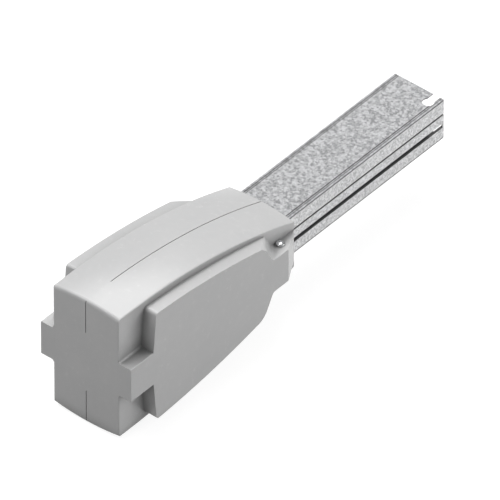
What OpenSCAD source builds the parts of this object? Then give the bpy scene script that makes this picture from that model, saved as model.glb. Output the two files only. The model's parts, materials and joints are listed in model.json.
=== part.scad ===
// Busway tap off box: a two-part moulded housing closed round the end of a
// small-power busway. The origin is the centre of the busway's open end, +Y
// runs out of that end, +Z is up, and the housing lies on the -Y side.

/* [Housing] */
// Width of the tall centre body
body_w = 85.2; // [80:0.2:92]
// Height of the body along its front side edges
front_h = 152.4; // [146:0.2:160]
// Height of the body along its rear side edges
rear_h = 59; // [56:0.5:64]
// Length of the housing, front face to rear face
body_len = 271.5; // [264:0.5:284]
// Rise of the crowned top and bottom across the width
crown = 3.7; // [2:0.1:5]
// Length of the body, from its front face, before its height starts to fall
level_len = 20; // [8:1:32]
// Wall thickness of the side, top and bottom walls
wall = 2.6; // [2.2:0.1:3]
// Thickness of the front and rear walls
end_wall = 3; // [2.4:0.1:3.6]
// Rounding of the body's front edge, top and bottom
nose_r = 4; // [2.5:0.1:5]
// Rounding of the body's long side edges and front corners
edge_r = 1.4; // [0.8:0.1:2]

/* [Cheeks, arms and tongues] */
// How far the side cheeks stand out from the body
cheek_t = 16.3; // [14:0.1:20]
// Height of the cheeks, carried forward to the front face
cheek_h = 139.6; // [132:0.2:146]
// Radius of the long curve along the cheeks
cheek_r = 895; // [820:5:980]
// Distance from the front face to the cheeks' front walls
cheek_y = 34.5; // [28:0.5:40]
// Lean of the cheeks' front walls from upright
cheek_lean = 5.5; // [3:0.1:7]
// Rounding of the cheeks' front corners
cheek_corner_r = 4; // [3:0.1:6]
// Height of the arms beside the front face
arm_h = 41.8; // [38:0.2:46]
// Fillet where an arm meets the body
arm_fillet = 2.5; // [1:0.1:4]
// Height of the rear tongues that carry the lug screws
tongue_h = 41; // [39:0.5:44]
// Distance from the rear face to the end of the tongues' outer faces
tongue_back = 27.8; // [24:0.1:32]
// Distance from the rear face to the cheeks' rear walls, at the tongues' outer faces
drop_back = 51.3; // [48:0.1:57]
// Steepness of the cheeks' rear walls
drop_angle = 68.5; // [64:0.5:74]
// Rounding above the cheeks' rear walls
drop_r = 20; // [14:0.5:24]
// Fillet at the foot of the cheeks' rear walls
drop_fillet = 4; // [2.5:0.1:5]

/* [Seams of the housing] */
// Width of the hairline where the two shells meet
seam_w = 0.8; // [0.4:0.1:1.2]
// Depth of the hairline
seam_d = 1.2; // [0.6:0.1:1.6]
// Distance from the front face to the start of the top hairline
seam_y = 38.5; // [30:0.5:50]
// Half height of the front face's middle, where the shells meet without a line
seam_z = 38; // [30:0.5:50]
// Thickness of the left shell's tabs, which lap inside the right shell's front wall
lap_t = 1.6; // [0.8:0.1:2]
// How far the tabs reach into the right shell
lap_reach = 5; // [3:0.1:8]
// Height of each tab
lap_h = 36; // [20:1:44]

/* [Busway] */
// Width of the busway casing
bus_w = 64; // [60:0.5:66]
// Height of the busway casing
bus_h = 50; // [47:0.5:51]
// Length of busway behind the housing
bus_reach = 248; // [200:1:300]
// Length of busway inside the housing
bus_inside = 66; // [56:1:72]
// Sheet thickness of the casing
sheet = 1.2; // [0.8:0.1:1.4]
// Width of the casing sides' folded flanges
flange_w = 5; // [4:0.1:6]
// Depth of the small step along the middle of each flange
step_d = 0.25; // [0.1:0.05:0.4]
// Width of the hem line under each long corner
hem_w = 1; // [0.6:0.1:1.4]
// Depth of the hem line
hem_d = 0.6; // [0.3:0.05:0.65]
// Height of the narrow groove's centre on each side
rib_z = 6.2; // [4:0.1:9]
// Width of the narrow groove
rib_w = 2; // [1.6:0.1:3]
// Depth of the narrow groove
rib_d = 1.2; // [0.8:0.1:1.6]
// Height of the tap slot's centre on each side
slot_z = -8.1; // [-10:0.1:-6]
// Width of the tap slot
slot_w = 5.6; // [4.6:0.1:6.4]
// Depth of the slot's turned-in lips
lip_d = 2; // [1.4:0.1:2.4]
// Metal left between the tap slot and the casing's ends
slot_end = 2; // [1.6:0.1:6]
// Radius of the keyhole at the open end
key_r = 6.2; // [5.2:0.05:6.4]
// Width of the keyhole's open slot
key_w = 9.2; // [8:0.1:9.6]
// Distance from the open end to the keyhole's centre
key_y = 13; // [10:0.5:16]
// Distance from the middle of the busway to the keyhole's centre
key_x = 22.2; // [21:0.1:22.6]

/* [Conductors] */
// Width of a busbar
bar_w = 10; // [9:0.1:11]
// Thickness of a busbar
bar_t = 3; // [2.5:0.1:3.5]
// Spacing of the busbars
bar_pitch = 13.5; // [13.4:0.1:13.8]
// Height of the busbars' centre plane
bar_z = -8; // [-9:0.1:-7]
// Distance from the open end to the insulator
end_recess = 21.5; // [20:0.5:26]
// Length of bare busbar beyond the insulator, at the open end
bar_bare = 10; // [6:0.5:14]
// Height of the insulator above the busbars' centre plane
insulator_rise = 14; // [10:0.5:18]

/* [Terminals] */
// Distance from the busway's inner end forward to the terminals
cage_back = 69.5; // [62:0.5:78]
// Length of a terminal cage along the busbar
cage_d = 14; // [12:0.5:16]
// Width of a terminal cage
cage_w = 12; // [11.6:0.1:12.2]
// Height of the wire space above the busbar
wire_h = 11; // [9:0.5:13]
// Side wall thickness of a cage
cage_wall = 0.9; // [0.6:0.05:0.95]
// Thickness of a cage's threaded roof
cage_roof = 4; // [3:0.1:5]
// Radius of a terminal screw
clamp_screw_r = 3; // [2.5:0.05:3.2]

/* [Tray, clamp and brackets] */
// Thickness of the mounting tray
tray_t = 1.5; // [1.2:0.1:2]
// Width of the mounting tray
tray_w = 56; // [52:0.5:60]
// Distance from the front face to the tray's front end
tray_y = 20; // [14:0.5:26]
// Depth of the tray's folded sides
tray_side = 11; // [8:0.5:14]
// Radius of the small fixing screws
small_screw_r = 2; // [1.5:0.05:2.2]
// Place of the cable clamp, as a share of the tray's free length before the terminals
clamp_at = 0.28; // [0.2:0.01:0.4]
// Radius of the cable clamp's throat
throat_r = 11; // [9:0.5:12]
// Place of the earth stud, as a share of the same free length
earth_at = 0.69; // [0.55:0.01:0.85]
// Length of the earth stud
earth_len = 26; // [20:0.5:30]
// Radius of the earth stud
earth_r = 3; // [2.5:0.05:3.2]
// Sheet thickness of the lug brackets
bracket_t = 2; // [1.5:0.1:2.4]
// Length of a lug bracket on the busway's side
bracket_len = 28; // [24:0.5:32]
// Distance from the tongues' outer faces in to a lug screw
lug_in = 11.5; // [10.5:0.1:12.1]
// Distance from the rear face to the lug screws
lug_back = 27; // [25.5:0.1:28.5]
// Radius of a lug screw
lug_r = 2.5; // [2:0.05:2.6]
// Radius of a lug screw's head
lug_head_r = 4.75; // [4.25:0.05:4.8]
// Thickness of the foam seal behind the rear wall
seal_t = 3.6; // [3:0.1:4.4]
// Width of the foam seal beside the busway
seal_w = 6; // [4:0.5:7]

/* [Clearances] */
// Gap between the housing and the busway
bus_gap = 0.3; // [0.2:0.05:0.5]
// Gap between pieces that slide past each other
slide_gap = 0.2; // [0.1:0.05:0.3]
// Gap round a screw in a plain hole
hole_gap = 0.15; // [0.1:0.05:0.3]
// Gap round a screw in its thread
thread_gap = 0.05; // [0.02:0.01:0.1]

/* [Hidden] */

overall = body_len + bus_reach;
far = 100; // reach of a cutting solid past what it cuts

// Body: the side edges follow one arc, level at the front face
half_w = body_w / 2;
half_h = front_h / 2;
fall = (front_h - rear_h) / 2;
fall_len = body_len - level_len;
barrel_r = (fall_len * fall_len + fall * fall) / (2 * fall);
crown_r = (half_w * half_w + crown * crown) / (2 * crown);
crown_c = barrel_r + crown - crown_r;
sweep = asin(fall_len / (barrel_r - half_h)) + 2;
steps = 6; // flats in a small rounding

// Cheeks
cheek_x = half_w + cheek_t;
tongue_y = body_len - tongue_back;
drop_y = body_len - drop_back;
lug_x = cheek_x - lug_in;
lug_y = body_len - lug_back;
cheek_cz = cheek_h / 2 - cheek_r;
entry_angle = 25;

// Busway
bus_x = bus_w / 2;
bus_z = bus_h / 2;
bus_front = body_len - bus_inside;
flange_x = bus_x - flange_w;
step_x = bus_x - 0.54 * flange_w;
hem_z = bus_z - 0.3;
plate_gap = 0.3;
tuck_w = flange_w - sheet - 0.5;
insulator_x = bus_x - sheet - lip_d - slide_gap;
insulator_front = bus_front - 10;
insulator_end = overall - end_recess;

// Conductors and terminals
cage_y = bus_front - cage_back;
bar_x = [-1.5 * bar_pitch, -0.5 * bar_pitch, 0.5 * bar_pitch, 1.5 * bar_pitch];
bar_front = cage_y - cage_d / 2 - 1;
cage_floor = 2;
cage_z = bar_z - bar_t / 2 - cage_floor;
cage_h = cage_floor + bar_t + wire_h + cage_roof;
partition = 1;

// Tray and what stands on it
tray_top = -bus_z;
ear_t = 4;
ear_d = 9;
base_front = cage_y - cage_d / 2 - cage_d / 2;
base_back = cage_y + cage_d / 2 + 0.38 * cage_back;
bay = base_front - ear_d - tray_y;
clamp_y = tray_y + clamp_at * bay;
earth_y = tray_y + earth_at * bay;
clamp_x = throat_r + 5;
clamp_d = 14;
clamp_split = tray_top + throat_r + 4;
clamp_top = clamp_split + throat_r + 1;

// Lugs
lug_top = tongue_h / 2;
tab_top = lug_top - wall - slide_gap;
nut_h = 4;
nut_r = 4 / cos(30);

function arc(c, r, a0, a1, n = steps) =
    [for (i = [0:n]) c + r * [cos(a0 + (a1 - a0) * i / n), sin(a0 + (a1 - a0) * i / n)]];
function flip(p) = [for (i = [len(p) - 1:-1:0]) [p[i][0], -p[i][1]]];

// Puts a solid drawn from the front face into the part's own frame
module placed() {
    translate([0, -overall, 0]) children();
}

module steel() { color([0.76, 0.77, 0.77]) placed() children(); }
module plastic() { color([0.80, 0.81, 0.81]) placed() children(); }
module black() { color([0.10, 0.10, 0.11]) placed() children(); }
module copper() { color([0.74, 0.46, 0.26]) placed() children(); }
module brass() { color([0.80, 0.70, 0.42]) placed() children(); }

// Both mirror images, about the plane z = 0
module up_and_down() {
    children();
    mirror([0, 0, 1]) children();
}

// Extrudes an outline drawn in Y and Z along +X, from x0 to x1
module along_x(x0, x1) {
    translate([x0, 0, 0]) rotate([90, 0, 90]) linear_extrude(x1 - x0) children();
}

// Extrudes an outline drawn in X and Z along +Y, from y0 to y1
module along_y(y0, y1) {
    translate([0, y1, 0]) rotate([90, 0, 0]) linear_extrude(y1 - y0) children();
}

// ---- Housing -------------------------------------------------------------

// Cross-section of the body's right half at its front face, as radius and -x
module barrel_section(inset) {
    x = half_w - inset;
    difference() {
        intersection() {
            translate([crown_c, 0]) circle(r = crown_r - inset, $fn = 360);
            translate([barrel_r - half_h - 5, -x]) square([half_h + 20, x]);
        }
        if (inset == 0) {
            c = [crown_c + sqrt(pow(crown_r - edge_r, 2) - pow(x - edge_r, 2)), edge_r - x];
            a = atan2(c[1], c[0] - crown_c);
            cut = arc(c, edge_r, -90, a);
            polygon(concat([[c[0], -x - 2]], cut, [cut[steps] + 3 * [cos(a), sin(a)], [c[0] + 8, -x - 2]]));
        }
    }
}

// Upper right quarter of the body: level at first, then turned about an axis below
module body_quarter(inset, end_inset) {
    intersection() {
        translate([0, level_len, half_h - barrel_r]) rotate([0, -90, 0]) union() {
            rotate_extrude(angle = sweep, $fn = 360) barrel_section(inset);
            rotate([90, 0, 0]) linear_extrude(level_len + 1) barrel_section(inset);
        }
        translate([-1, end_inset, 0]) cube([half_w + 2, body_len - 2 * end_inset, front_h]);
    }
}

// Rounds the front edge of the top
module nose_cutter() {
    cut = arc([crown_r - nose_r, nose_r], nose_r, 0, -90, 8);
    translate([0, 0, half_h + crown - crown_r]) rotate([0, 0, -90]) rotate([0, -90, 0])
        rotate([0, 0, -1]) rotate_extrude(angle = 12, $fn = 360)
            polygon(concat([[crown_r + 3, nose_r]], cut, [[crown_r - nose_r, -2], [crown_r + 3, -2]]));
}

// Rounds the body's upright front corner
module corner_cutter() {
    cut = arc([half_w - edge_r, edge_r], edge_r, 0, -90);
    translate([0, 0, -1]) linear_extrude(front_h)
        polygon(concat([[half_w + 2, edge_r]], cut, [[half_w - edge_r, -2], [half_w + 2, -2]]));
}

// Outline of a cheek in Y and Z, its curve carried back to the rear
function cheek_outline(inset) =
    let (r = cheek_corner_r - inset * 0.6,
        big = cheek_r - inset,
        b = tan(cheek_lean),
        a = cheek_y + (inset + r) / cos(cheek_lean) - arm_h / 2 * b,
        qa = 1 + b * b,
        qb = 2 * (a * b - cheek_cz),
        qc = a * a + cheek_cz * cheek_cz - (big - r) * (big - r),
        cz = (-qb + sqrt(qb * qb - 4 * qa * qc)) / (2 * qa),
        c = [a + b * cz, cz],
        meet = atan2(cz - cheek_cz, c[0]),
        back = acos((body_len - 0.5 - inset) / big),
        top = concat([[cheek_y + inset / cos(cheek_lean), arm_h / 2 - 2]],
            arc(c, r, 180 - cheek_lean, meet), arc([0, cheek_cz], big, meet - 0.1, back, 24)))
    concat(top, flip(top));

// Plan of a cheek: outer face and tapered rear wall
module cheek_plan(inset) {
    taper = atan2(cheek_t, body_len - tongue_y);
    x = cheek_x - inset;
    y = tongue_y - inset * tan(45 - taper / 2);
    polygon([[0, 0], [x, 0], [x, y], [x - tan(taper) * far, y + far], [0, y + far]]);
}

// Cuts away a cheek behind its slanted rear wall, down to the tongue's top.
// Its section is square to the wall: s runs along X and Y together.
module drop_cutter(inset) {
    s0 = (cheek_x + drop_y) / sqrt(2);
    z0 = lug_top - inset;
    d = [cos(drop_angle), -sin(drop_angle)];
    n = [sin(drop_angle), cos(drop_angle)];
    foot = [s0, lug_top] - inset * [1 / sin(drop_angle) - 1 / tan(drop_angle), 1];
    small = drop_fillet + inset;
    big = drop_r - inset;
    low = [foot[0] + small * tan(drop_angle / 2), z0 + small];
    high = [s0, lug_top] - 17.6 / sin(drop_angle) * d - drop_r * n;
    run = concat(arc(low, small, -90, -180 + 90 - drop_angle),
        arc(high, big, 90 - drop_angle, 90 - entry_angle, 10));
    start = run[len(run) - 1];
    rotate([0, 0, 45]) rotate([90, 0, 0]) linear_extrude(4 * far, center = true)
        polygon(concat(run, [start + far * [-cos(entry_angle), sin(entry_angle)],
            [s0 + far, far], [s0 + far, z0]]));
}

// Where a cheek or arm starts: in the body's wall, or for its hollow well inside
function root_x(inset) = inset == 0 ? half_w - wall / 2 : half_w - 3 * wall;

// Right cheek with its tongue
module cheek(inset) {
    difference() {
        intersection() {
            along_x(root_x(inset), cheek_x + 5) polygon(cheek_outline(inset));
            translate([0, 0, -far]) linear_extrude(2 * far) cheek_plan(inset);
        }
        up_and_down() drop_cutter(inset);
    }
}

// Cross-section of the right arm, with its fillets against the body
module arm_section(inset) {
    z = arm_h / 2 - inset;
    x = cheek_x - inset;
    f = arm_fillet + inset;
    w = half_w - inset;
    top = concat(arc([x - 1, z - 1], 1, 0, 90, 3),
        inset == 0 ? arc([w + f, z + f], f, -90, -180) : []);
    polygon(concat([[root_x(inset), -z]], flip(top), top, [[root_x(inset), z]]));
}

module arm(inset) {
    along_y(inset == 0 ? 0 : end_wall, cheek_y + 6) arm_section(inset);
}

// Hollow of the right shell
module shell_hollow() {
    up_and_down() body_quarter(wall, end_wall);
    cheek(wall);
    arm(wall);
}

// Hairline along the right shell's meeting edge
module seam_cutter() {
    up_and_down() {
        start = asin((seam_y - level_len) / barrel_r);
        translate([0, level_len, half_h - barrel_r]) rotate([0, -90, 0]) rotate([0, 0, start])
            rotate_extrude(angle = sweep, $fn = 360)
                translate([barrel_r + crown - seam_d, -seam_w / 2]) square([seam_d + 2, seam_w]);
        translate([-seam_w / 2, -1, seam_z]) cube([seam_w, 1 + seam_d, half_h]);
    }
}

module shell_form() {
    difference() {
        union() {
            difference() {
                up_and_down() body_quarter(0, 0);
                up_and_down() {
                    nose_cutter();
                    corner_cutter();
                }
            }
            cheek(0);
            arm(0);
        }
        shell_hollow();
        seam_cutter();
        translate([-1, body_len - end_wall - 1, -bus_z - bus_gap])
            cube([bus_x + bus_gap + 1, end_wall + 2, bus_h + 2 * bus_gap]);
        up_and_down() translate([lug_x, lug_y, lug_top - wall - 1])
            cylinder(r = lug_r + hole_gap, h = wall + 2, $fn = 48);
    }
}

// Tabs of the left shell that lap inside the right shell's front wall
module lap_tabs() {
    up_and_down() translate([0, end_wall, seam_z - lap_h / 2]) {
        translate([-3 * lap_reach, -0.4, 0]) cube([3 * lap_reach, 0.4 + slide_gap + lap_t, lap_h]);
        translate([-1, slide_gap, 0]) cube([1 + lap_reach, lap_t, lap_h]);
    }
}

module right_shell() { plastic() shell_form(); }
module left_shell() {
    plastic() {
        mirror([1, 0, 0]) shell_form();
        lap_tabs();
    }
}

// ---- Lug screws, nuts and brackets ---------------------------------------

// Pan head screw pointing down from z = 0, with a cross recess
module pan_screw(r, head_r, head_h, length) {
    difference() {
        union() {
            rotate_extrude($fn = 64) intersection() {
                translate([0, head_h - 1.9 * head_r]) circle(r = 1.9 * head_r, $fn = 180);
                square([head_r, head_h]);
            }
            translate([0, 0, -length]) cylinder(r = r, h = length + 0.5, $fn = 48);
        }
        for (a = [0, 90]) rotate([0, 0, a])
            translate([-0.6 * head_r, -0.09 * head_r, 0.35 * head_h])
                cube([1.2 * head_r, 0.18 * head_r, head_h]);
    }
}

// Hexagon nut on the plane z = 0
module hex_nut(across_r, bore_r, h) {
    difference() {
        cylinder(r = across_r, h = h, $fn = 6);
        translate([0, 0, -1]) cylinder(r = bore_r, h = h + 2, $fn = 48);
    }
}

module lug_screws_form() {
    up_and_down() translate([lug_x, lug_y, lug_top])
        pan_screw(lug_r, lug_head_r, 3.2, wall + slide_gap + bracket_t + nut_h + 1);
}

module lug_nuts_form() {
    up_and_down() translate([lug_x, lug_y, tab_top - bracket_t - thread_gap - nut_h])
        rotate([0, 0, 30]) hex_nut(nut_r, lug_r + thread_gap, nut_h);
}

module right_lug_screws() { steel() lug_screws_form(); }
module left_lug_screws() { steel() mirror([1, 0, 0]) lug_screws_form(); }
module right_lug_nuts() { steel() lug_nuts_form(); }
module left_lug_nuts() { steel() mirror([1, 0, 0]) lug_nuts_form(); }

rivet_y = [lug_y - 0.29 * bracket_len, lug_y + 0.29 * bracket_len];
rivet_r = 2;

// Channel on the busway's side, its two tabs reaching into the tongue
module lug_bracket_form() {
    half_len = bracket_len / 2;
    tab_w = 0.64 * half_len;
    difference() {
        union() {
            translate([bus_x, lug_y - half_len, -tab_top]) cube([bracket_t, bracket_len, 2 * tab_top]);
            up_and_down() translate([0, 0, tab_top - bracket_t]) linear_extrude(bracket_t)
                polygon([[bus_x, lug_y - half_len], [lug_x + 4, lug_y - tab_w], [lug_x + 4, lug_y],
                    [lug_x - 1.5, lug_y + tab_w], [bus_x + bracket_t, lug_y + half_len],
                    [bus_x, lug_y + half_len]]);
        }
        up_and_down() translate([0, 0, tab_top - bracket_t - 1]) {
            translate([lug_x, lug_y, 0]) cylinder(r = lug_r + hole_gap, h = bracket_t + 2, $fn = 48);
            translate([lug_x, lug_y - lug_r - hole_gap, 0]) cube([lug_in, 2 * (lug_r + hole_gap), bracket_t + 2]);
        }
        for (y = rivet_y) translate([bus_x - 1, y, 0]) rotate([0, 90, 0])
            cylinder(r = rivet_r + thread_gap, h = bracket_t + 2, $fn = 48);
    }
}

module right_lug_bracket() { steel() lug_bracket_form(); }
module left_lug_bracket() { steel() mirror([1, 0, 0]) lug_bracket_form(); }

// Rivets of both brackets, with a flat set head inside the casing
module bracket_rivets() {
    steel() for (side = [0, 1], y = rivet_y)
        mirror([side, 0, 0]) translate([bus_x, y, 0]) rotate([0, 90, 0]) {
            translate([0, 0, -sheet - 1]) cylinder(r = rivet_r + 0.7, h = 1, $fn = 48);
            translate([0, 0, -sheet - 0.5]) cylinder(r = rivet_r, h = sheet + bracket_t + 1, $fn = 48);
            translate([0, 0, bracket_t]) cylinder(r1 = rivet_r + 1.6, r2 = rivet_r + 0.6, h = 1.3, $fn = 48);
        }
}

// ---- Busway ----------------------------------------------------------------

// Keyhole through the top plate and the flange's edge
module keyhole() {
    translate([key_x, overall - key_y, bus_z - 3]) {
        cylinder(r = key_r, h = 6, $fn = 64);
        translate([-key_w / 2, 0, 0]) cube([key_w, key_y + 2, 6]);
    }
}

// Folded section of the casing's right side
module side_section() {
    x = bus_x;
    i = bus_x - sheet;
    s0 = slot_z - slot_w / 2;
    s1 = slot_z + slot_w / 2;
    polygon([[flange_x, bus_z - step_d], [step_x, bus_z - step_d], [step_x, bus_z], [x, bus_z],
        [x, hem_z], [x - hem_d, hem_z], [x - hem_d, hem_z - hem_w], [x, hem_z - hem_w],
        [x, rib_z + rib_w / 2], [x - rib_d, rib_z + rib_w / 3],
        [x - rib_d, rib_z - rib_w / 3], [x, rib_z - rib_w / 2], [x, s1], [i - lip_d, s1],
        [i - lip_d, s1 + sheet], [i, s1 + sheet], [i, rib_z - rib_w / 2 - 0.7],
        [i - rib_d, rib_z - rib_w / 3 - 0.7], [i - rib_d, rib_z + rib_w / 3 + 0.7],
        [i, rib_z + rib_w / 2 + 0.7], [i, bus_z - sheet], [flange_x, bus_z - sheet]]);
    polygon([[x, s0], [x, hem_w - hem_z], [x - hem_d, hem_w - hem_z], [x - hem_d, -hem_z], [x, -hem_z],
        [x, -bus_z], [step_x, -bus_z], [step_x, step_d - bus_z], [flange_x, step_d - bus_z],
        [flange_x, sheet - bus_z], [i, sheet - bus_z],
        [i, s0 - sheet], [i - lip_d, s0 - sheet], [i - lip_d, s0]]);
}

// The tap slot runs between two bridges of metal at the casing's ends
module casing_side_form() {
    difference() {
        union() {
            along_y(bus_front, overall) side_section();
            for (y = [bus_front, overall - slot_end])
                translate([bus_x - sheet, y, slot_z - slot_w]) cube([sheet, slot_end, 2 * slot_w]);
        }
        for (y = rivet_y) translate([bus_x - sheet - 1, y, 0]) rotate([0, 90, 0])
            cylinder(r = rivet_r + thread_gap, h = sheet + 2, $fn = 48);
    }
}

module casing_right_side() {
    steel() difference() {
        casing_side_form();
        keyhole();
    }
}
module casing_left_side() { steel() mirror([1, 0, 0]) casing_side_form(); }

// Plate whose edges are set down under the side flanges
module plate_form() {
    raised = flange_x - plate_gap;
    tucked = flange_x + tuck_w;
    top = bus_z;
    half = [[0, top], [raised, top], [raised, top - sheet], [tucked, top - sheet],
        [tucked, top - 2 * sheet], [raised - sheet, top - 2 * sheet], [raised - sheet, top - sheet]];
    other = [for (i = [len(half) - 1:-1:1]) [-half[i][0], half[i][1]]];
    along_y(bus_front, overall) polygon(concat(half, other));
}

module casing_top_plate() {
    steel() difference() {
        plate_form();
        keyhole();
    }
}

tray_screw_x = 15;
tray_screw_y = [bus_front + 0.18 * bus_inside, bus_front + 0.67 * bus_inside];

module casing_bottom_plate() {
    steel() difference() {
        mirror([0, 0, 1]) plate_form();
        for (x = [-tray_screw_x, tray_screw_x], y = tray_screw_y)
            translate([x, y, -bus_z - 1]) cylinder(r = small_screw_r + thread_gap, h = sheet + 2, $fn = 48);
    }
}

// Extruded profile that holds the four busbars
module insulator_section() {
    floor_z = 2 * sheet - bus_z;
    under = bar_z - bar_t / 2 - slide_gap - 2 - (floor_z + 2);
    difference() {
        translate([-insulator_x, floor_z]) square([2 * insulator_x, bar_z + insulator_rise - floor_z]);
        for (x = bar_x) {
            translate([x, bar_z]) square([bar_w + 2 * slide_gap, bar_t + 2 * slide_gap], center = true);
            translate([x - bar_w / 2, floor_z + 2]) square([bar_w, under]);
            translate([x - bar_w / 2, bar_z + bar_t / 2 + slide_gap + 2]) square([bar_w, insulator_rise]);
        }
    }
}

module bar_insulator() { black() along_y(insulator_front, insulator_end) insulator_section(); }

module busbar(i) {
    copper() translate([bar_x[i] - bar_w / 2, bar_front, bar_z - bar_t / 2])
        cube([bar_w, insulator_end + bar_bare - bar_front, bar_t]);
}

module busbar_l1() { busbar(0); }
module busbar_l2() { busbar(1); }
module busbar_l3() { busbar(2); }
module busbar_n() { busbar(3); }

// ---- Terminals -------------------------------------------------------------

// Box clamp round the end of one busbar, open front and back
module terminal_cage(i) {
    brass() translate([bar_x[i], cage_y, cage_z]) difference() {
        translate([-cage_w / 2, -cage_d / 2, 0]) cube([cage_w, cage_d, cage_h]);
        translate([cage_wall - cage_w / 2, -cage_d, cage_floor])
            cube([cage_w - 2 * cage_wall, 2 * cage_d, bar_t + wire_h]);
        translate([0, 0, cage_h - cage_roof - 1])
            cylinder(r = clamp_screw_r + thread_gap, h = cage_roof + 2, $fn = 48);
    }
}

module terminal_cage_l1() { terminal_cage(0); }
module terminal_cage_l2() { terminal_cage(1); }
module terminal_cage_l3() { terminal_cage(2); }
module terminal_cage_n() { terminal_cage(3); }

// Slotted cheese-head screw pointing down from z = 0
module slotted_screw(r, head_r, head_h, length) {
    difference() {
        union() {
            cylinder(r = head_r, h = head_h, $fn = 48);
            translate([0, 0, -length]) cylinder(r = r, h = length + 0.5, $fn = 48);
        }
        translate([-head_r - 1, -0.15 * head_r, head_h / 2]) cube([2 * head_r + 2, 0.3 * head_r, head_h]);
    }
}

module terminal_screws() {
    steel() for (x = bar_x) translate([x, cage_y, cage_z + cage_h])
        slotted_screw(clamp_screw_r, clamp_screw_r + 1.6, 3, cage_roof + 2);
}

base_x = 1.5 * bar_pitch + cage_w / 2 + 0.75;
ear_x = 20;
ear_y = [base_front - ear_d / 2, base_back + ear_d / 2];

// Insulating block with a partition each side of every cage
module terminal_base() {
    black() difference() {
        union() {
            translate([-base_x, base_front, tray_top])
                cube([2 * base_x, base_back - base_front, cage_z - tray_top]);
            for (i = [-2:2])
                translate([i * bar_pitch - partition / 2, base_front + 3, cage_z - 1])
                    cube([partition, base_back - base_front - 12, cage_h]);
            translate([-base_x, base_back - 5, cage_z - 1]) cube([2 * base_x, 4, cage_floor + 1]);
            translate([-base_x, base_front - ear_d, tray_top])
                cube([2 * base_x, base_back - base_front + 2 * ear_d, ear_t]);
        }
        for (x = [-ear_x, ear_x], y = ear_y)
            translate([x, y, tray_top - 1]) cylinder(r = small_screw_r + hole_gap, h = ear_t + 2, $fn = 48);
    }
}

module terminal_base_screws() {
    steel() for (x = [-ear_x, ear_x], y = ear_y) translate([x, y, tray_top + ear_t])
        pan_screw(small_screw_r, 2 * small_screw_r, 2.4, ear_t + tray_t + 2);
}

// ---- Tray, cable clamp and earth stud ----------------------------------------

module tray_hole(x, y, r) {
    translate([x, y, tray_top - tray_t - 1]) cylinder(r = r, h = tray_t + 2, $fn = 48);
}

module mounting_tray() {
    steel() difference() {
        union() {
            translate([-tray_w / 2, tray_y, tray_top - tray_t])
                cube([tray_w, body_len - end_wall - seal_t - 2.5 - tray_y, tray_t]);
            for (side = [0, 1]) mirror([side, 0, 0])
                translate([tray_w / 2 - tray_t, tray_y + 5, tray_top - tray_side])
                    cube([tray_t, bus_front - tray_y - 10, tray_side]);
        }
        for (x = [-ear_x, ear_x], y = ear_y) tray_hole(x, y, small_screw_r + thread_gap);
        for (x = [-tray_screw_x, tray_screw_x], y = tray_screw_y) tray_hole(x, y, small_screw_r + hole_gap);
        for (x = [-clamp_x, clamp_x]) tray_hole(x, clamp_y, small_screw_r + thread_gap);
        tray_hole(0, earth_y, earth_r + thread_gap);
    }
}

// Screws up through the tray into the casing's bottom plate
module tray_screws() {
    steel() for (x = [-tray_screw_x, tray_screw_x], y = tray_screw_y)
        translate([x, y, tray_top - tray_t]) rotate([180, 0, 0])
            pan_screw(small_screw_r, 2 * small_screw_r, 2.4, tray_t + 2 * sheet - 0.3);
}

// One half of the cable clamp, its throat centred on z = 0
module clamp_half(z0, z1, throat_z) {
    w = clamp_x + 5;
    difference() {
        translate([-w, clamp_y - clamp_d / 2, z0]) cube([2 * w, clamp_d, z1 - z0]);
        translate([0, clamp_y, throat_z]) rotate([90, 0, 0])
            cylinder(r = throat_r, h = clamp_d + 2, center = true, $fn = 96);
        for (x = [-clamp_x, clamp_x])
            translate([x, clamp_y, z0 - 1]) cylinder(r = small_screw_r + hole_gap, h = z1 - z0 + 2, $fn = 48);
    }
}

module cable_clamp_base() { black() clamp_half(tray_top, clamp_split, clamp_split + 3); }
module cable_clamp_saddle() {
    black() clamp_half(clamp_split, clamp_top, clamp_split - 3);
}
module cable_clamp_screws() {
    steel() for (x = [-clamp_x, clamp_x]) translate([x, clamp_y, clamp_top])
        pan_screw(small_screw_r, 2 * small_screw_r, 2.4, clamp_top - tray_top + tray_t + 2);
}

nut6_r = 5 / cos(30);
nut6_h = 5;
washer_t = 1.6;

module earth_stud() {
    brass() translate([0, earth_y, tray_top - tray_t - nut6_h - 1])
        cylinder(r = earth_r, h = earth_len, $fn = 48);
}
// One nut under the tray and one on the washer
module earth_nuts() {
    brass() for (z = [tray_top - tray_t - nut6_h, tray_top + washer_t])
        translate([0, earth_y, z]) hex_nut(nut6_r, earth_r + thread_gap, nut6_h);
}
module earth_washer() {
    steel() translate([0, earth_y, tray_top]) difference() {
        cylinder(r = 6.2, h = washer_t, $fn = 48);
        translate([0, 0, -1]) cylinder(r = earth_r + hole_gap, h = 4, $fn = 48);
    }
}

// Foam frame round the busway, against the rear wall's inner face
module busway_seal() {
    black() along_y(body_len - end_wall - seal_t, body_len - end_wall) difference() {
        square([bus_w + 2 * seal_w, bus_h + 0.8 * seal_w], center = true);
        square([bus_w + slide_gap, bus_h + slide_gap], center = true);
    }
}

casing_top_plate();
casing_bottom_plate();
casing_left_side();
casing_right_side();
bar_insulator();
busbar_l1();
busbar_l2();
busbar_l3();
busbar_n();
terminal_base();
terminal_cage_l1();
terminal_cage_l2();
terminal_cage_l3();
terminal_cage_n();
terminal_screws();
terminal_base_screws();
mounting_tray();
tray_screws();
left_lug_bracket();
right_lug_bracket();
bracket_rivets();
earth_stud();
earth_nuts();
earth_washer();
cable_clamp_base();
cable_clamp_saddle();
cable_clamp_screws();
busway_seal();
left_shell();
right_shell();
left_lug_screws();
right_lug_screws();
left_lug_nuts();
right_lug_nuts();
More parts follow.
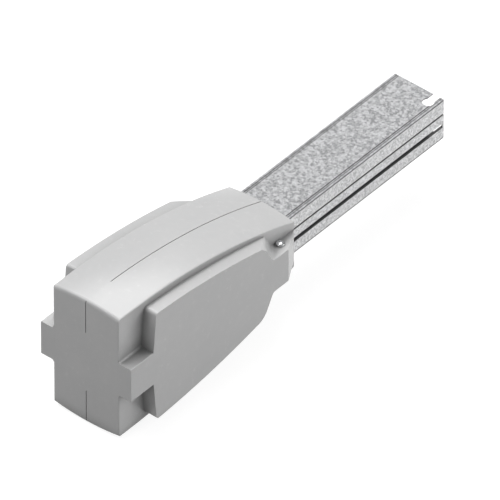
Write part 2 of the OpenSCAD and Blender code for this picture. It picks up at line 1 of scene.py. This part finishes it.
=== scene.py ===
"""Looks of the busway tap off box: materials, floor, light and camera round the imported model.

Lengths are in metres, in the model's own frame: +Y out of the busway's open end, +X to the
housing's right, +Z up. Colours are linear.
"""

import json
import math

import bpy
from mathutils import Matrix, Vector


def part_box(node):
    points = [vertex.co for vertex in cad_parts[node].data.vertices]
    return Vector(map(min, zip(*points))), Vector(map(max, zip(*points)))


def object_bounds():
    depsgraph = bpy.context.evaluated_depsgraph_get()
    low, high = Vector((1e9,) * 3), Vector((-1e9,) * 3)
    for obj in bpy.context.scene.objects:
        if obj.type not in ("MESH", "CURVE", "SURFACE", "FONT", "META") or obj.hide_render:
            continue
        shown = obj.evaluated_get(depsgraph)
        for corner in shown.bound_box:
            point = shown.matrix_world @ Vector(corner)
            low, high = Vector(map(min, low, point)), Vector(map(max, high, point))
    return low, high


MM = 0.001

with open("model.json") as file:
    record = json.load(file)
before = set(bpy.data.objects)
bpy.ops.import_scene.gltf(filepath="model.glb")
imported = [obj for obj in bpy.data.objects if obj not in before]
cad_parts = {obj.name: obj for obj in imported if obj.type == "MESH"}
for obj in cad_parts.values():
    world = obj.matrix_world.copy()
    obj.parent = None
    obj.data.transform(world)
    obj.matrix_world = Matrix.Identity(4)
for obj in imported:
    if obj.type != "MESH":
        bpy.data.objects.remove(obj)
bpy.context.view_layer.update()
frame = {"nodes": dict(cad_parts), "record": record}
NODES = frame["nodes"]


# ---- Node helpers ------------------------------------------------------------

class Graph:
    """A new node material, with short calls for the nodes used here.

    A value given to a call is a number, a colour or another node's output.
    """

    def __init__(self, name):
        self.material = bpy.data.materials.new(name)
        self.material.use_nodes = True
        self.tree = self.material.node_tree
        self.tree.nodes.clear()
        self.shader = self.add("ShaderNodeBsdfPrincipled")
        self.add("ShaderNodeOutputMaterial", {"Surface": self.shader.outputs["BSDF"]})
        self.place = self.add("ShaderNodeTexCoord").outputs["Object"]

    def feed(self, socket, value):
        """Sets a socket to a number or colour, or links it to another node's output."""
        if isinstance(value, bpy.types.NodeSocket):
            self.tree.links.new(value, socket)
        else:
            socket.default_value = value

    def add(self, kind, inputs=None, **settings):
        """Adds a node with its settings, and feeds its named inputs."""
        node = self.tree.nodes.new(kind)
        for key, value in settings.items():
            setattr(node, key, value)
        for name, value in (inputs or {}).items():
            self.feed(node.inputs[name], value)
        return node

    def stretched(self, scale):
        """Object coordinates scaled along each axis."""
        return self.add("ShaderNodeMapping", {"Vector": self.place, "Scale": scale}).outputs["Vector"]

    def warped(self, size, reach):
        """Object coordinates pushed about by up to reach, in lumps of about size."""
        push = self.noise(size, output="Color")
        node = self.add("ShaderNodeVectorMath", operation="MULTIPLY_ADD")
        for socket, value in zip(node.inputs, (push, (reach,) * 3, self.place)):
            self.feed(socket, value)
        return node.outputs["Vector"]

    def noise(self, size, detail=2.0, rough=0.5, place=None, output="Fac"):
        """Noise from 0 to 1 whose lumps are about size across."""
        node = self.add("ShaderNodeTexNoise", {"Vector": place or self.place, "Scale": 1 / size,
                                               "Detail": detail, "Roughness": rough})
        return node.outputs[output]

    def cells(self, size, place=None, output="Color"):
        """Random cells about size across."""
        node = self.add("ShaderNodeTexVoronoi", {"Vector": place or self.place, "Scale": 1 / size})
        return node.outputs[output]

    def math(self, operation, *values):
        """One step of arithmetic."""
        node = self.add("ShaderNodeMath", operation=operation)
        for socket, value in zip(node.inputs, values):
            self.feed(socket, value)
        return node.outputs["Value"]

    def blend(self, first, first_share, second, second_share):
        """Sum of two values, each times its share."""
        return self.math("ADD", self.math("MULTIPLY", first, first_share),
                         self.math("MULTIPLY", second, second_share))

    def other(self, value):
        """What is left of a share: one less the value."""
        return self.math("SUBTRACT", 1.0, value)

    def size_of(self, value):
        """A value without its sign."""
        return self.math("ABSOLUTE", value)

    def span(self, value, low, high, out_low=0.0, out_high=1.0):
        """Maps low..high to out_low..out_high, held at both ends."""
        node = self.add("ShaderNodeMapRange", {"Value": value, "From Min": low, "From Max": high,
                                               "To Min": out_low, "To Max": out_high})
        return node.outputs["Result"]

    def line(self, value, middle, half_width, fade, strength):
        """Strength where value is within half_width of middle, going to 0 over fade."""
        off = self.size_of(self.math("SUBTRACT", value, middle))
        return self.span(off, half_width, half_width + fade, strength, 0.0)

    def mix(self, factor, first, second, kind="RGBA"):
        """Mixes two colours, or two vectors if kind is VECTOR."""
        node = self.add("ShaderNodeMix", data_type=kind)
        sockets = {socket.name: socket for socket in node.inputs if socket.enabled}
        for name, value in (("Factor", factor), ("A", first), ("B", second)):
            self.feed(sockets[name], value)
        return [socket for socket in node.outputs if socket.enabled][0]

    def part(self, vector, axis):
        """One component of a vector."""
        return self.add("ShaderNodeSeparateXYZ", {"Vector": vector}).outputs[axis]

    def normal(self):
        """The surface's own normal."""
        return self.add("ShaderNodeNewGeometry").outputs["Normal"]

    def painted_corner_shade(self, reach, deep, clear, most):
        """Share of painted shade in inner corners, from ambient occlusion: most where the open share is deep,
        none from clear up.
        """
        node = self.add("ShaderNodeAmbientOcclusion", {"Distance": reach}, samples=8)
        return self.span(node.outputs["AO"], deep, clear, most, 0.0)

    def rounded(self, radius):
        """Normal of the surface with its edges eased to a radius."""
        return self.add("ShaderNodeBevel", {"Radius": radius}, samples=6).outputs["Normal"]

    def bump(self, height, depth, normal=None):
        """Normal of a surface raised by height times depth."""
        node = self.add("ShaderNodeBump", {"Strength": 1.0, "Distance": depth, "Height": height})
        if normal is not None:
            self.feed(node.inputs["Normal"], normal)
        return node.outputs["Normal"]

    def finish(self, **values):
        """Feeds the shader's sockets, named with _ for each space."""
        for name, value in values.items():
            self.feed(self.shader.inputs[name.replace("_", " ")], value)
        return self.material


def grey(level, red=0.0, blue=0.0):
    """Colour near a grey level, with a little more or less red and blue."""
    return (level * (1 + red), level, level * (1 + blue), 1.0)


# ---- Materials ---------------------------------------------------------------

def housing_plastic():
    """Light grey moulded plastic: fine spark texture, faint flow marks, eased edges, and painted shade in its
    pockets and inner corners.
    """
    g = Graph("housing plastic")
    flow = g.noise(38 * MM, 3.0, 0.55, g.stretched((1.0, 0.45, 1.0)))
    cloud = g.noise(7 * MM)
    spark = g.noise(0.55 * MM, 2.0, 0.6)
    shade = g.blend(flow, 0.7, cloud, 0.3)
    unshaded = g.mix(g.span(shade, 0.3, 0.7), grey(0.545, -0.004, 0.004), grey(0.575, 0.002, 0.0))
    # Painted shade: the colour darkens towards grey 0.15 in pockets and inner corners, by ambient occlusion
    colour = g.mix(g.painted_corner_shade(19 * MM, 0.40, 0.94, 0.75), unshaded, grey(0.15))
    rough = g.span(g.blend(spark, 0.5, cloud, 0.5), 0.3, 0.7, 0.24, 0.28)
    # The two shells meet flush on x = 0, so their edges are left sharp there
    beside = g.span(g.size_of(g.part(g.place, "X")), 0.6 * MM, 1.2 * MM)
    eased = g.mix(beside, g.normal(), g.rounded(0.45 * MM), "VECTOR")
    return g.finish(Base_Color=colour, Roughness=rough, Normal=g.bump(spark, 0.012 * MM, eased),
                    Specular_IOR_Level=0.5)


# Lines of painted shade on the casing: the hem, the groove along the side and the flange's joints
HEM_DROP = 0.8 * MM     # the hem line's middle, below the casing's top
HEM_HALF = 0.5 * MM
GROOVE_Z = 6.2 * MM     # the groove along the casing's side
GROOVE_HALF = 1.0 * MM
JOINT_HALF = 0.3 * MM   # the joints along the flange
LINE_FADE = 0.4 * MM
STEP_SHARE = 0.54       # the flange's step, as a share of its width from the corner


def casing_painted_shade(g, normal, level):
    """Painted shade on the casing: its share inside the outline, and the shares along each joint, hem and
    groove line.
    """
    low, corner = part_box("casing_right_side")
    across = g.size_of(g.part(g.place, "X"))
    height = g.part(g.place, "Z")
    depth = g.math("MINIMUM", g.math("SUBTRACT", corner.x, across),
                   g.math("SUBTRACT", corner.z, g.size_of(height)))
    end_face = g.math("GREATER_THAN", g.part(normal, "Y"), 0.5)
    inside = g.math("MULTIPLY", g.span(depth, 0.15 * MM, 0.6 * MM, 0.0, 0.86), g.other(end_face))
    lines = []
    for joint in (low.x, corner.x - STEP_SHARE * (corner.x - low.x)):
        lines.append(g.math("MULTIPLY", g.line(across, joint, JOINT_HALF, LINE_FADE, 0.9), level))
    for middle, half_width in ((corner.z - HEM_DROP, HEM_HALF), (GROOVE_Z, GROOVE_HALF)):
        lines.append(g.math("MULTIPLY", g.line(height, middle, half_width, LINE_FADE, 0.92), g.other(level)))
    return inside, lines


def galvanised_sheet(name, casing=False):
    """Hot-dip galvanised steel: small ragged spangle grains of differing tone, faintly tinted.

    Level faces carry coarser and duller grains than upright ones; their colour is a darker copy,
    painted shade, and that of upright ones a lighter copy, painted light. Creases and inner
    corners carry painted shade. On the casing, what lies inside the outline and along the
    joints, hem and groove is painted dark as shade.
    """
    g = Graph(name)
    normal = g.normal()
    level = g.span(g.size_of(g.part(normal, "Z")), 0.4, 0.6)
    place = g.warped(1.6 * MM, 2.0 * MM)
    coarse = g.blend(g.part(g.cells(2.7 * MM, place), "X"), 0.62, g.part(g.cells(1.4 * MM, place), "Y"), 0.38)
    fine = g.blend(g.part(g.cells(1.6 * MM, place), "X"), 0.6, g.part(g.cells(0.9 * MM, place), "Y"), 0.4)
    grain = g.math("ADD", fine, g.math("MULTIPLY", level, g.math("SUBTRACT", coarse, fine)))
    frost = g.noise(3.0 * MM, 3.0, 0.65)
    shade = g.blend(grain, 0.66, frost, 0.34)
    tone = g.span(shade, 0.28, 0.72)
    # Painted light and shade by facing: upright faces take a lighter copy of the colour, level faces a darker
    # one
    upright = g.mix(tone, grey(0.42, -0.01, 0.01), grey(0.86, -0.005, 0.01))
    flat = g.mix(tone, grey(0.25, -0.01, 0.02), grey(0.57, -0.005, 0.02))
    colour = g.mix(level, upright, flat)
    # Painted shade in creases and inner corners, by ambient occlusion
    painted_crevice_shade = g.painted_corner_shade(4 * MM, 0.40, 0.92, 0.7)
    if casing:
        inside, lines = casing_painted_shade(g, normal, level)
        # Painted shade: what lies more than 0.15 mm inside the casing's outline goes near black
        colour = g.mix(inside, colour, grey(0.11))
        for line in lines:
            painted_crevice_shade = g.math("MAXIMUM", painted_crevice_shade, line)
    # Painted shade: the colour darkens towards grey 0.05 in creases, corners and along the casing's lines
    colour = g.mix(painted_crevice_shade, colour, grey(0.05))
    metallic = g.math("MULTIPLY", g.other(painted_crevice_shade), g.span(level, 0.0, 1.0, 0.50, 0.10))
    rough = g.math("ADD", g.span(shade, 0.2, 0.8, -0.06, 0.06), g.span(level, 0.0, 1.0, 0.52, 0.68))
    return g.finish(Base_Color=colour, Metallic=metallic, Roughness=rough,
                    Normal=g.bump(shade, 0.03 * MM, g.rounded(0.35 * MM)))


def black_plastic():
    """Matt black moulded insulation with a fine texture and paler rubbed marks."""
    g = Graph("black plastic")
    cloud = g.noise(9 * MM, 3.0)
    spark = g.noise(0.5 * MM, 2.0, 0.6)
    colour = g.mix(g.span(cloud, 0.35, 0.7), grey(0.042, 0.0, 0.05), grey(0.064, 0.0, 0.04))
    rough = g.span(cloud, 0.3, 0.7, 0.42, 0.58)
    return g.finish(Base_Color=colour, Roughness=rough, Normal=g.bump(spark, 0.02 * MM, g.rounded(0.3 * MM)))


def foam_rubber():
    """Closed-cell foam: small pores."""
    g = Graph("foam rubber")
    pores = g.cells(0.7 * MM, output="Distance")
    cloud = g.noise(6 * MM)
    colour = g.mix(g.span(g.blend(pores, 1.0, cloud, 0.4), 0.2, 1.0), grey(0.014), grey(0.040))
    return g.finish(Base_Color=colour, Roughness=g.span(cloud, 0.3, 0.7, 0.82, 0.95),
                    Normal=g.bump(pores, 0.15 * MM))


def copper_bar():
    """Drawn copper: streaks along the bar and a little tarnish."""
    g = Graph("copper bar")
    streak = g.noise(0.5 * MM, 2.0, 0.5, g.stretched((1.0, 0.02, 1.0)))
    tarnish = g.noise(12 * MM, 4.0, 0.6)
    bright = g.mix(g.span(streak, 0.3, 0.7), (0.60, 0.30, 0.18, 1), (0.76, 0.42, 0.27, 1))
    colour = g.mix(g.span(tarnish, 0.5, 0.75, 0.0, 0.6), bright, (0.34, 0.17, 0.10, 1))
    rough = g.math("ADD", g.span(streak, 0.3, 0.7, 0.24, 0.34), g.span(tarnish, 0.5, 0.75, 0.0, 0.15))
    return g.finish(Base_Color=colour, Metallic=1.0, Roughness=rough,
                    Normal=g.bump(streak, 0.01 * MM, g.rounded(0.3 * MM)))


def plated(name, dark, light, stretch):
    """Plated metal: fine drawn streaks, long where stretch is under 1, and dull patches."""
    g = Graph(name)
    streak = g.noise(0.35 * MM, 2.0, 0.5, g.stretched(stretch))
    dull = g.noise(5 * MM, 3.0, 0.6)
    colour = g.mix(g.span(g.blend(streak, 0.6, dull, 0.4), 0.3, 0.7), dark, light)
    rough = g.math("ADD", g.span(streak, 0.3, 0.7, 0.16, 0.26), g.span(dull, 0.45, 0.7, 0.0, 0.10))
    return g.finish(Base_Color=colour, Metallic=1.0, Roughness=rough,
                    Normal=g.bump(streak, 0.006 * MM, g.rounded(0.25 * MM)))


MATERIALS = {
    "housing_plastic": housing_plastic(),
    "galvanised_sheet": galvanised_sheet("galvanised sheet"),
    "black_plastic": black_plastic(),
    "foam_rubber": foam_rubber(),
    "copper_bar": copper_bar(),
    "nickel_brass": plated("nickel-plated brass", (0.50, 0.46, 0.36, 1), (0.70, 0.66, 0.54, 1),
                           (1.0, 1.0, 0.06)),
    "zinc_steel": plated("zinc-plated steel", (0.72, 0.73, 0.74, 1), (0.92, 0.93, 0.94, 1),
                         (1.0, 1.0, 1.0)),
}
CASING_SHEET = galvanised_sheet("galvanised casing", casing=True)

for entry in frame["record"]["subparts"]:
    in_casing = entry["node"].startswith("casing_")
    mesh = NODES[entry["node"]].data
    mesh.materials.clear()
    mesh.materials.append(CASING_SHEET if in_casing else MATERIALS[entry["material_slot"]])


# ---- Floor and backdrop ------------------------------------------------------

WHITE = (1, 1, 1, 1)
FLOOR_SIZE = 12.0
FLOOR_BOUNCE = 0.10   # what the floor sends back at the object
FLOOR_GLOW = 0.86     # lifts the floor to white for the camera and in reflections
SKY = 0.18            # the world's light on the object; the camera sees it white


def floor_material():
    """Pale matt floor. The camera and reflections see it white, with the object's shadow."""
    g = Graph("floor")
    tone = g.mix(g.span(g.noise(60 * MM, 3.0), 0.3, 0.7), grey(0.30), grey(0.32))
    path = g.add("ShaderNodeLightPath")
    seen = g.math("MAXIMUM", path.outputs["Is Camera Ray"],
                  g.math("MAXIMUM", path.outputs["Is Glossy Ray"], path.outputs["Is Transmission Ray"]))
    return g.finish(Base_Color=g.mix(seen, grey(FLOOR_BOUNCE), tone), Roughness=0.9, Emission_Color=WHITE,
                    Emission_Strength=g.math("MULTIPLY", seen, FLOOR_GLOW))


low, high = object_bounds()
middle = (low + high) / 2
bpy.ops.mesh.primitive_plane_add(size=FLOOR_SIZE, location=(middle.x, middle.y, low.z))
floor = bpy.context.object
floor.name = "floor"
floor.data.materials.append(floor_material())

world = bpy.data.worlds.new("studio")
bpy.context.scene.world = world
world.use_nodes = True
tree = world.node_tree
background = tree.nodes["Background"]
background.inputs["Color"].default_value = WHITE
path = tree.nodes.new("ShaderNodeLightPath")
shown = tree.nodes.new("ShaderNodeMapRange")
shown.inputs["To Min"].default_value = SKY
shown.inputs["To Max"].default_value = 1.0
tree.links.new(path.outputs["Is Camera Ray"], shown.inputs["Value"])
tree.links.new(shown.outputs["Result"], background.inputs["Strength"])


# ---- Light and camera --------------------------------------------------------

LAMP_DISTANCE = 2.0
LAMP_SIZE = 1.2
SOFTBOXES = (
    # name, azimuth, elevation, radiance
    ("key left", 255, 45, 0.4),
    ("key front left", 310, 55, 3.5),
    ("gloss behind", 224, 60, 5.0),
    ("fill right", 90, 10, 2.4),
    ("fill behind right", 135, 30, 3.0),
    ("fill front", 0, 15, 0.95),
)

# The camera stands far off, so the object shows almost without perspective
AZIMUTH = 40.053
ELEVATION = 40.28
AIM_BEHIND = 0.26      # the point aimed at: on the housing's axis, behind its front face,
AIM_RIGHT = -0.00404   # and moved to the right and up in the picture
AIM_UP = -0.0175
VIEW_WIDTH = 0.50124
LENS = 1500
SENSOR = 36


def direction(azimuth, elevation):
    """Unit vector away from the object. Azimuth 0 is in front of the housing, 90 to its right."""
    a, e = math.radians(azimuth), math.radians(elevation)
    return Vector((math.sin(a) * math.cos(e), -math.cos(a) * math.cos(e), math.sin(e)))


def set_up(name, data, target, away, distance):
    """Object with this data that stands off from the target and faces it."""
    holder = bpy.data.objects.new(name, data)
    holder.location = target + distance * away
    holder.rotation_mode = "QUATERNION"
    holder.rotation_quaternion = (-away).to_track_quat("-Z", "Y")
    bpy.context.scene.collection.objects.link(holder)
    return holder


for name, azimuth, elevation, radiance in SOFTBOXES:
    lamp = bpy.data.lights.new(name, "AREA")
    lamp.shape = "SQUARE"
    lamp.size = LAMP_SIZE
    lamp.energy = radiance * math.pi * LAMP_SIZE ** 2
    set_up(name, lamp, middle, direction(azimuth, elevation), LAMP_DISTANCE)

back = direction(AZIMUTH, ELEVATION)
right = direction(AZIMUTH + 90, 0)
up = back.cross(right)
front_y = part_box("right_shell")[0].y
aim = Vector((0, front_y + AIM_BEHIND, 0)) + AIM_RIGHT * right + AIM_UP * up
camera_distance = VIEW_WIDTH / 2 / (SENSOR / 2 / LENS)

camera = bpy.data.cameras.new("camera")
camera.lens = LENS
camera.sensor_width = SENSOR
camera.clip_end = 2 * camera_distance
bpy.context.scene.camera = set_up("camera", camera, aim, back, camera_distance)
bpy.context.scene.view_settings.view_transform = "Standard"

bpy.context.view_layer.update()
